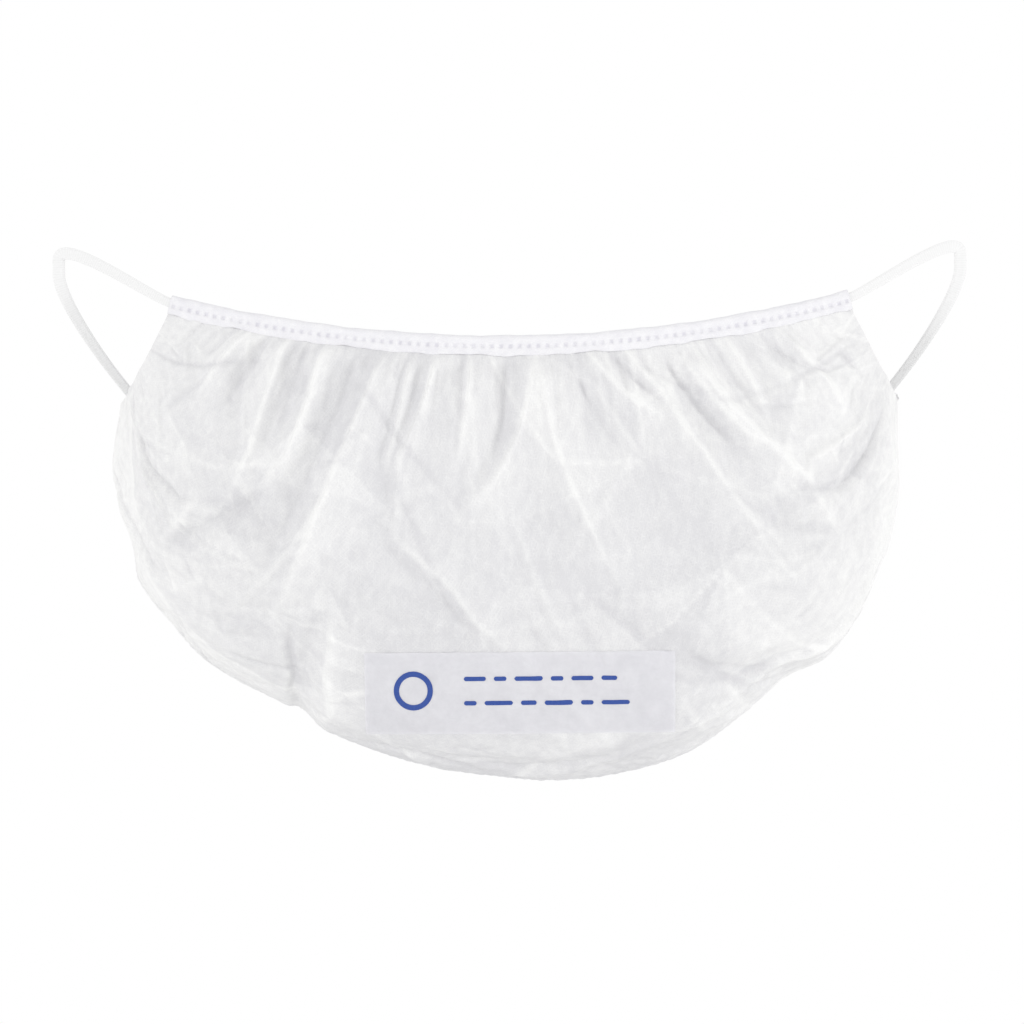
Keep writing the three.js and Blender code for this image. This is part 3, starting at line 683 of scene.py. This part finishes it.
def elastic_route():
    """The ring of elastic: along the front from right to left, round the left ear, along the rear
    from left to right, and round the right ear. Gives points, directions and widths."""
    run = np.linspace(-1, 1, BOUND_STATIONS)
    front_point, front_tangent, _ = bound_edge(-run, **FRONT_EDGE)
    rear_point, rear_tangent, _ = bound_edge(run, **REAR_EDGE)
    front_tangent = -front_tangent
    out = FRONT_EDGE["half_span"] + EAR_REACH
    rest_z = np.linspace(-0.5, 0.5, REST_STATIONS) * REST_LENGTH

    def rest(side):
        across = np.full(REST_STATIONS, side * out)
        point = np.stack([across, np.zeros(REST_STATIONS), rest_z * side], -1)
        return point, np.tile([0.0, 0.0, float(side)], (REST_STATIONS, 1))

    def bend(line, lead, next_line, next_lead, widths):
        start, start_way = line[0][-1], line[1][-1]
        end, end_way = next_line[0][0], next_line[1][0]
        handles = (start + start_way * lead, end - end_way * next_lead)
        point, tangent, t = bezier(start, *handles, end, BEND_STEPS)
        return point, tangent, widths[0] + (widths[1] - widths[0]) * smooth_step(0, 1, t)

    front = (front_point, front_tangent)
    rear = (rear_point, rear_tangent)
    left, right = rest(-1), rest(1)
    slack, tight = ELASTIC_WIDTH, BOUND_WIDTH
    parts = [
        (*front, np.full(BOUND_STATIONS, tight)),
        bend(front, FRONT_LEAD, left, TIP_RISE, (tight, slack)),
        (*left, np.full(REST_STATIONS, slack)),
        bend(left, TIP_FALL, rear, REAR_LEAD, (slack, tight)),
        (*rear, np.full(BOUND_STATIONS, tight)),
        bend(rear, REAR_LEAD, right, TIP_FALL, (tight, slack)),
        (*right, np.full(REST_STATIONS, slack)),
        bend(right, TIP_RISE, front, FRONT_LEAD, (slack, tight)),
    ]
    return [np.concatenate(column) for column in zip(*parts)]


def elastic_piece():
    """Flat knitted elastic: a rounded band with five ribs along each flat side."""
    point, tangent, width = elastic_route()
    down = unit(np.cross([0.0, 1.0, 0.0], tangent))
    thick, low = rounded_rectangle(ELASTIC_THICKNESS / 2, 0.5, 0.55, BAND_CORNERS)
    rib = RIB_DEPTH * np.abs(np.sin(low * math.pi * 5)) - RIB_DEPTH
    thick = thick + np.sign(thick) * rib * (np.abs(low) < 0.48)
    thick = np.broadcast_to(thick, (len(point), BAND_CORNERS))
    points = swept((point, tangent, down), thick, width[:, None] * low)
    distance = travelled_length(point)
    around = np.linspace(0, BAND_GIRTH, BAND_CORNERS)
    uv = np.stack(np.broadcast_arrays(distance[:, None], around), -1) * MILLIMETRE
    faces = grid_faces(len(point), BAND_CORNERS, closed_rows=True, closed_columns=True)
    return mesh_object("elastic_band", points.reshape(-1, 3), faces, uv.reshape(-1, 2))


pouch_points, cloth_along, whiteness_with_painted_light = pouch_surface()
pouch_points = relaxed(pouch_points)
flat_across = (CLOTHS + 1) / 2 * FLAT_WIDTH
flat_along = (1 - cloth_along / cloth_along[-1])[:, None] * FLAT_LENGTH
flat_uv = np.stack(np.broadcast_arrays(flat_across, flat_along), -1)
pouch = grid_object("pouch_cloth", pouch_points, flat_uv)
# The attribute holds how white the cloth is: double along its ridges, with painted shade in its valleys
# and facets, and painted light on its low sides
mark_points(pouch, "creases_and_painted_light", whiteness_with_painted_light)
front_tape = tape_piece("front_tape", FRONT_EDGE, **FRONT_TAPE)
rear_tape = tape_piece("rear_tape", REAR_EDGE, **REAR_TAPE)
elastic = elastic_piece()

front_part = slice(HIDDEN_ROWS, HIDDEN_ROWS + FRONT_ROWS + 1)
front_points = pouch_points[front_part]
front_normals = grid_normals(pouch_points)[front_part]


def on_front(across, height, lift):
    """Points on the front panel at given places across and heights, lifted off the cloth. Each of
    the cloth's columns is cut at the height, and the cuts are joined across."""
    line_heights = np.asarray(height, dtype=float)
    above = front_points[None, :, :, 2] > line_heights[:, None, None]
    j = np.clip(above.sum(axis=1) - 1, 0, FRONT_ROWS - 1)
    column = np.arange(COLUMNS + 1)[None, :]
    upper, lower = front_points[j, column], front_points[j + 1, column]
    fall = lower[..., 2] - upper[..., 2]
    share = np.clip((line_heights[:, None] - upper[..., 2]) / fall, 0, 1)[..., None]
    cut = upper + (lower - upper) * share
    normal = unit(front_normals[j, column] * (1 - share) + front_normals[j + 1, column] * share)
    surface = cut + normal * lift
    result = np.empty((len(line_heights), len(across), 3))
    for row, line in enumerate(surface):
        order = np.argsort(line[:, 0])
        for axis in range(3):
            result[row, :, axis] = np.interp(across, line[order, 0], line[order, axis])
    return result


label_across = np.linspace(LABEL_LEFT, LABEL_RIGHT, LABEL_COLUMNS)
label_heights = np.linspace(LABEL_TOP, LABEL_BOTTOM, LABEL_ROWS)
label_points = on_front(label_across, label_heights, LABEL_LIFT)
label_uv = np.stack(np.meshgrid(label_across, label_heights), -1) * MILLIMETRE
label = grid_object("label_film", label_points, label_uv)

# Printed marks: a plain ring, and two rows of plain dashes
RING_CENTRE = (-31.5, -135.6)
RING_RADIUS = 6.2
RING_STROKE = 1.7
RING_ROWS = 4
RING_CORNERS = 72
DASH_HEIGHT = 1.4
DASH_POINTS = 25
DASH_LEVELS = 5
# The height of each row, and the start and length of each dash in it
DASH_ROWS = {
    -131.9: [(-15.5, 7.0), (-6.0, 4.0), (0.5, 9.0), (12.0, 4.0), (18.5, 7.0), (28.0, 5.0)],
    -139.6: [(-15.5, 4.0), (-9.0, 9.0), (2.5, 5.0), (10.0, 9.0), (21.5, 4.0), (28.0, 9.0)],
}
PATCH_ROWS = 90
PATCH_COLUMNS = 260


def print_patch(across, height):
    """Points of a printed mark. Each is blended from the four points round it in a fine sheet that
    lies on the cloth."""
    rows = np.linspace(LABEL_TOP, LABEL_BOTTOM, PATCH_ROWS)
    columns = np.linspace(LABEL_LEFT, LABEL_RIGHT, PATCH_COLUMNS)
    sheet = on_front(columns, rows, PRINT_LIFT)
    i = (across - LABEL_LEFT) / (LABEL_RIGHT - LABEL_LEFT) * (PATCH_COLUMNS - 1)
    j = (LABEL_TOP - height) / (LABEL_TOP - LABEL_BOTTOM) * (PATCH_ROWS - 1)
    i0, j0 = np.floor(i).astype(int), np.floor(j).astype(int)
    a, b = (i - i0)[..., None], (j - j0)[..., None]
    return (
        sheet[j0, i0] * (1 - a) * (1 - b)
        + sheet[j0, i0 + 1] * a * (1 - b)
        + sheet[j0 + 1, i0] * (1 - a) * b
        + sheet[j0 + 1, i0 + 1] * a * b
    )


def printed_marks():
    """The ring, whose rows run from its outer edge to its inner one, and the dashes, whose height
    falls off along a quarter of a circle at both ends."""
    angle = np.linspace(0, 2 * math.pi, RING_CORNERS + 1)[:-1]
    radius = np.linspace(RING_RADIUS, RING_RADIUS - RING_STROKE, RING_ROWS)[:, None]
    ring_x = RING_CENTRE[0] + radius * np.cos(angle)
    ring_z = RING_CENTRE[1] + radius * np.sin(angle)
    ring = print_patch(ring_x, ring_z)
    points = [ring.reshape(-1, 3)]
    faces = [grid_faces(*ring.shape[:2], closed_columns=True)[:, ::-1]]
    count = len(points[0])
    t = np.linspace(0, 1, DASH_POINTS)
    level = np.linspace(1, -1, DASH_LEVELS)[:, None]
    half = DASH_HEIGHT / 2
    for height, dashes in DASH_ROWS.items():
        for start, length in dashes:
            end = np.minimum(t, 1 - t) * length
            reach = half * np.sqrt(1 - np.clip(1 - end / half, 0, 0.99) ** 2)
            dash = print_patch(start + t * length + 0 * level, height + level * reach)
            points.append(dash.reshape(-1, 3))
            faces.append(grid_faces(*dash.shape[:2]) + count)
            count += len(points[-1])
    return mesh_object("label_print", np.concatenate(points), np.concatenate(faces))


label_print = printed_marks()


# Materials
def new_material(name):
    """Material whose nodes are one principled shader and its output."""
    material = bpy.data.materials.new(name)
    material.use_nodes = True
    return material, material.node_tree, material.node_tree.nodes["Principled BSDF"]


def feed(tree, node, inputs):
    """Give each named input of a node its value, or link it to another node's output."""
    for key, value in inputs.items():
        if isinstance(value, bpy.types.NodeSocket):
            tree.links.new(value, node.inputs[key])
        else:
            node.inputs[key].default_value = value


def place_node(tree, kind, inputs=None, **settings):
    """Node of a kind, with its settings and then its fed inputs."""
    node = tree.nodes.new(kind)
    for key, value in settings.items():
        setattr(node, key, value)
    feed(tree, node, inputs or {})
    return node


def flat_place(tree):
    """Place on the flat cloth, tape, band or film, in metres."""
    return place_node(tree, "ShaderNodeUVMap", uv_map="flat").outputs[0]


def math_node(tree, operation, *values):
    """Result of a calculation with numbers and with other nodes' outputs."""
    inputs = dict(enumerate(values))
    return place_node(tree, "ShaderNodeMath", inputs, operation=operation).outputs[0]


def noise(tree, place, scale, detail, roughness=0.5):
    """Soft noise from 0 to 1."""
    inputs = {"Vector": place, "Scale": scale, "Detail": detail, "Roughness": roughness}
    return place_node(tree, "ShaderNodeTexNoise", inputs).outputs["Fac"]


def mapped(tree, value, limits, **settings):
    """Value carried from one range, 0 to 1 if none is given, to another."""
    inputs = {"Value": value, **limits}
    return place_node(tree, "ShaderNodeMapRange", inputs, **settings).outputs[0]


def mixed(tree, first, second, amount):
    """Colour that goes from the first to the second as the amount goes from 0 to 1."""
    inputs = {"A": first, "B": second, "Factor": amount}
    return place_node(tree, "ShaderNodeMix", inputs, data_type="RGBA").outputs["Result"]


def bumped(tree, height, strength, distance):
    """Normals of a relief whose height of 1 stands for the distance in metres."""
    inputs = {"Height": height, "Strength": strength, "Distance": distance}
    return place_node(tree, "ShaderNodeBump", inputs).outputs[0]


def spun_fibre_group():
    """Spun and bonded fibres on a flat cloth. Cloudiness is a soft noise, hairs are three noises
    drawn out in different directions, and bonds are a slanted lattice of small pressed dots."""
    tree = bpy.data.node_groups.new("spun fibres", "ShaderNodeTree")
    face = tree.interface
    face.new_socket("Place", in_out="INPUT", socket_type="NodeSocketVector")
    for name in ["Cloud size", "Hair width", "Bond pitch"]:
        face.new_socket(name, in_out="INPUT", socket_type="NodeSocketFloat")
    for name in ["Density", "Bonds", "Relief"]:
        face.new_socket(name, in_out="OUTPUT", socket_type="NodeSocketFloat")
    given = tree.nodes.new("NodeGroupInput").outputs
    result = tree.nodes.new("NodeGroupOutput")

    def scaled(size, name):
        inputs = {0: given["Place"], "Scale": math_node(tree, "DIVIDE", 1.0, given[size])}
        node = place_node(tree, "ShaderNodeVectorMath", inputs, operation="SCALE", name=name)
        return node.outputs[0]

    clouds = noise(tree, scaled("Cloud size", "cloud place"), 1.0, 6.0, 0.6)
    hair_place = scaled("Hair width", "hair place")
    hairs = None
    for turn in (0.35, 1.5, -0.8):
        drawn_out = {"Vector": hair_place, "Rotation": (0, 0, turn), "Scale": (1.0, 11.0, 1.0)}
        mapping = place_node(tree, "ShaderNodeMapping", drawn_out, vector_type="TEXTURE")
        strands = noise(tree, mapping.outputs[0], 1.0, 1.5)
        limits = {"From Min": 0.52, "From Max": 0.68}
        sharp = mapped(tree, strands, limits, interpolation_type="SMOOTHSTEP")
        hairs = sharp if hairs is None else math_node(tree, "MAXIMUM", hairs, sharp)
    bond_place = scaled("Bond pitch", "bond place")
    slanted = {"Vector": bond_place, "Rotation": (0, 0, 0.62), "Scale": (1.0, 1.45, 1.0)}
    lattice = place_node(tree, "ShaderNodeMapping", slanted)
    even_cells = {"Vector": lattice.outputs[0], "Scale": 1.0, "Randomness": 0.06}
    cells = place_node(tree, "ShaderNodeTexVoronoi", even_cells, voronoi_dimensions="2D")
    limits = {"From Min": 0.36, "From Max": 0.2}
    bonds = mapped(tree, cells.outputs["Distance"], limits, interpolation_type="SMOOTHSTEP")
    pressed = math_node(tree, "MULTIPLY", bonds, 0.06)
    mottle = math_node(tree, "MULTIPLY_ADD", clouds, 0.7, 0.15)
    density = math_node(tree, "SUBTRACT", math_node(tree, "MULTIPLY_ADD", hairs, 0.14, mottle), pressed)
    raised = math_node(tree, "MULTIPLY_ADD", hairs, 0.4, density)
    relief = math_node(tree, "MULTIPLY_ADD", bonds, -0.5, raised)
    feed(tree, result, {"Density": density, "Bonds": bonds, "Relief": relief})
    return tree


fibres = spun_fibre_group()
# Painted light: colour of the cloth's inner face, paler for the light that comes through it
INSIDE_PAINTED_LIGHT = (0.98, 0.98, 0.985, 1)
THINNEST = 0.1  # densities at which the cloth has its thin and its thick look
THICKEST = 0.85


def nonwoven_finish(name, thin, thick, alphas, roughness, marks, sizes):
    """Nonwoven cloth whose colour, see-through and relief follow the spun fibres, and whose density
    also follows an attribute for its marks, which on the pouch also holds painted light and shade.
    Its inner face is painted paler, as painted light for the light that comes through the cloth
    into the hollow."""
    material, tree, shader = new_material(name)
    inputs = {"Place": flat_place(tree), **sizes}
    spun = place_node(tree, "ShaderNodeGroup", inputs, node_tree=fibres).outputs
    # On the pouch this attribute holds painted light and shade as well as the cloth's own marks
    marked = place_node(tree, "ShaderNodeAttribute", attribute_name=marks)
    shifted = math_node(tree, "SUBTRACT", marked.outputs["Fac"], EVEN)
    density = math_node(tree, "MULTIPLY_ADD", shifted, 0.95, spun["Density"])
    limits = {"From Min": THINNEST, "From Max": THICKEST}
    tint = mixed(tree, (*thin, 1), (*thick, 1), mapped(tree, density, limits))
    # Painted light: the inner face is mixed towards a paler colour
    side = place_node(tree, "ShaderNodeNewGeometry")
    inner = math_node(tree, "MULTIPLY", side.outputs["Backfacing"], 0.7)
    glow = mixed(tree, tint, INSIDE_PAINTED_LIGHT, inner)
    cover = mapped(tree, density, {**limits, "To Min": alphas[0], "To Max": alphas[1]})
    polish = mapped(tree, spun["Bonds"], {"To Min": roughness[0], "To Max": roughness[1]})
    bump = bumped(tree, spun["Relief"], 1.0, 0.00004)
    feed(tree, shader, {"Base Color": glow, "Alpha": cover, "Roughness": polish, "Normal": bump})
    return material


cloth_finish = nonwoven_finish(
    "thin_nonwoven",
    (0.712, 0.709, 0.728),
    (0.925, 0.924, 0.918),
    (0.94, 0.99),
    (0.85, 0.5),
    "creases_and_painted_light",
    {"Cloud size": 0.0045, "Hair width": 0.00035, "Bond pitch": 0.0013},
)
tape_finish = nonwoven_finish(
    "folded_tape",
    (0.78, 0.77, 0.825),
    (0.955, 0.952, 0.96),
    (0.97, 1.0),
    (0.75, 0.45),
    "pressed",
    {"Cloud size": 0.004, "Hair width": 0.00028, "Bond pitch": 0.0009},
)


def knit_finish():
    """Flat knitted elastic: fine loops in rows across, between the ribs that the mesh carries."""
    material, tree, shader = new_material("knitted_elastic")
    place = flat_place(tree)
    rows = place_node(
        tree,
        "ShaderNodeTexWave",
        {"Vector": place, "Scale": 420.0, "Distortion": 1.5, "Detail": 1.0, "Detail Scale": 2.0},
        wave_type="BANDS",
        bands_direction="X",
    )
    grain = noise(tree, place, 900.0, 3.0)
    blend = math_node(tree, "MULTIPLY_ADD", grain, 0.5, rows.outputs["Fac"])
    tint = mixed(tree, (0.85, 0.85, 0.85, 1), (0.89, 0.89, 0.89, 1), blend)
    bump = bumped(tree, blend, 0.5, 0.00001)
    feed(tree, shader, {"Base Color": tint, "Roughness": 0.75, "Normal": bump})
    return material


def film_finish():
    """Thin printed film: almost even, with faint clouds and a soft gloss."""
    material, tree, shader = new_material("label_film")
    clouds = noise(tree, flat_place(tree), 140.0, 5.0, 0.6)
    tint = mixed(tree, (0.81, 0.805, 0.85, 1), (0.88, 0.875, 0.91, 1), clouds)
    cover = mapped(tree, clouds, {"To Min": 0.6, "To Max": 0.85})
    bump = bumped(tree, clouds, 0.6, 0.0001)
    feed(tree, shader, {"Base Color": tint, "Alpha": cover, "Roughness": 0.55, "Normal": bump})
    return material


def ink_finish():
    """Blue ink that sits a little unevenly on the film."""
    material, tree, shader = new_material("blue_ink")
    place = place_node(tree, "ShaderNodeTexCoord").outputs["Object"]
    specks = noise(tree, place, 1500.0, 3.0)
    tint = mixed(tree, (0.015, 0.05, 0.28, 1), (0.04, 0.1, 0.38, 1), specks)
    feed(tree, shader, {"Base Color": tint, "Roughness": 0.6})
    return material


for piece, finish, slot_name in [
    (pouch, cloth_finish, "nonwoven"),
    (front_tape, tape_finish, "binding_tape"),
    (rear_tape, tape_finish, "binding_tape"),
    (elastic, knit_finish(), "elastic"),
    (label, film_finish(), "label"),
    (label_print, ink_finish(), "label"),
]:
    piece.data.materials.append(finish)
    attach(piece, "root")
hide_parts("pouch")
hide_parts("front_binding")
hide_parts("rear_binding")
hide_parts("elastic_ear_loops")
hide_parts("label_patch")


# Stage
FLOOR_HEIGHT = -700.0


def floor_disc():
    """Plain floor well below the net: quads between rings, from the middle out."""
    radius = np.array([0.01, 800.0, 2500.0])[:, None]
    angle = np.linspace(0, 2 * math.pi, 97)[:-1]
    flat = radius * np.stack([np.cos(angle), np.sin(angle)], 0)[:, None, :]
    points = np.stack([flat[0], flat[1], np.full_like(flat[0], FLOOR_HEIGHT)], -1)
    disc = grid_object("floor", points, closed_columns=True)
    material, tree, shader = new_material("pale_floor")
    feed(tree, shader, {"Base Color": (0.93, 0.93, 0.93, 1), "Roughness": 0.9})
    disc.data.materials.append(material)


def soft_light(name, place, size, power):
    """Square area light that faces the middle of the net."""
    lamp = bpy.data.lights.new(name, "AREA")
    lamp.size = size
    lamp.energy = power
    holder = bpy.data.objects.new(name, lamp)
    aim = Vector((0, 0, -0.08)) - Vector(place)
    turn = aim.to_track_quat("-Z", "Y")
    holder.matrix_world = Matrix.Translation(place) @ turn.to_matrix().to_4x4()
    bpy.context.scene.collection.objects.link(holder)


def white_room(seen, lit):
    """World that is white where it is seen and gives a softer even light."""
    world = bpy.data.worlds.new("white_room")
    bpy.context.scene.world = world
    world.use_nodes = True
    tree = world.node_tree
    path = place_node(tree, "ShaderNodeLightPath")
    strength = mapped(tree, path.outputs["Is Camera Ray"], {"To Min": lit, "To Max": seen})
    feed(tree, tree.nodes["Background"], {"Color": (1, 1, 1, 1), "Strength": strength})


def photo_camera():
    """Level camera at the photograph's angle, three metres in front, turned a little about its own
    axis because the net hangs a little higher on its right."""
    distance = 3.0
    frame_width = 0.3277
    middle_x = 0.00016
    middle_z = -0.0794
    roll = math.radians(0.45)
    camera = bpy.data.cameras.new("photo_view")
    camera.sensor_width = 36.0
    camera.lens = camera.sensor_width * distance / frame_width
    camera.clip_end = 20.0
    holder = bpy.data.objects.new("photo_view", camera)
    right = Vector((math.cos(roll), 0, -math.sin(roll)))
    up = Vector((math.sin(roll), 0, math.cos(roll)))
    back = Vector((0, -1, 0))
    turn = Matrix((right, up, back)).transposed().to_4x4()
    holder.matrix_world = Matrix.Translation((middle_x, -distance, middle_z)) @ turn
    bpy.context.scene.collection.objects.link(holder)
    bpy.context.scene.camera = holder


floor_disc()
white_room(1.0, 0.88)
soft_light("key", (2.7, -1.2, -0.4), 0.7, 18.0)
soft_light("fill", (-2.2, -1.8, -0.4), 1.2, 17.3)
photo_camera()
bpy.context.scene.view_settings.view_transform = "Standard"
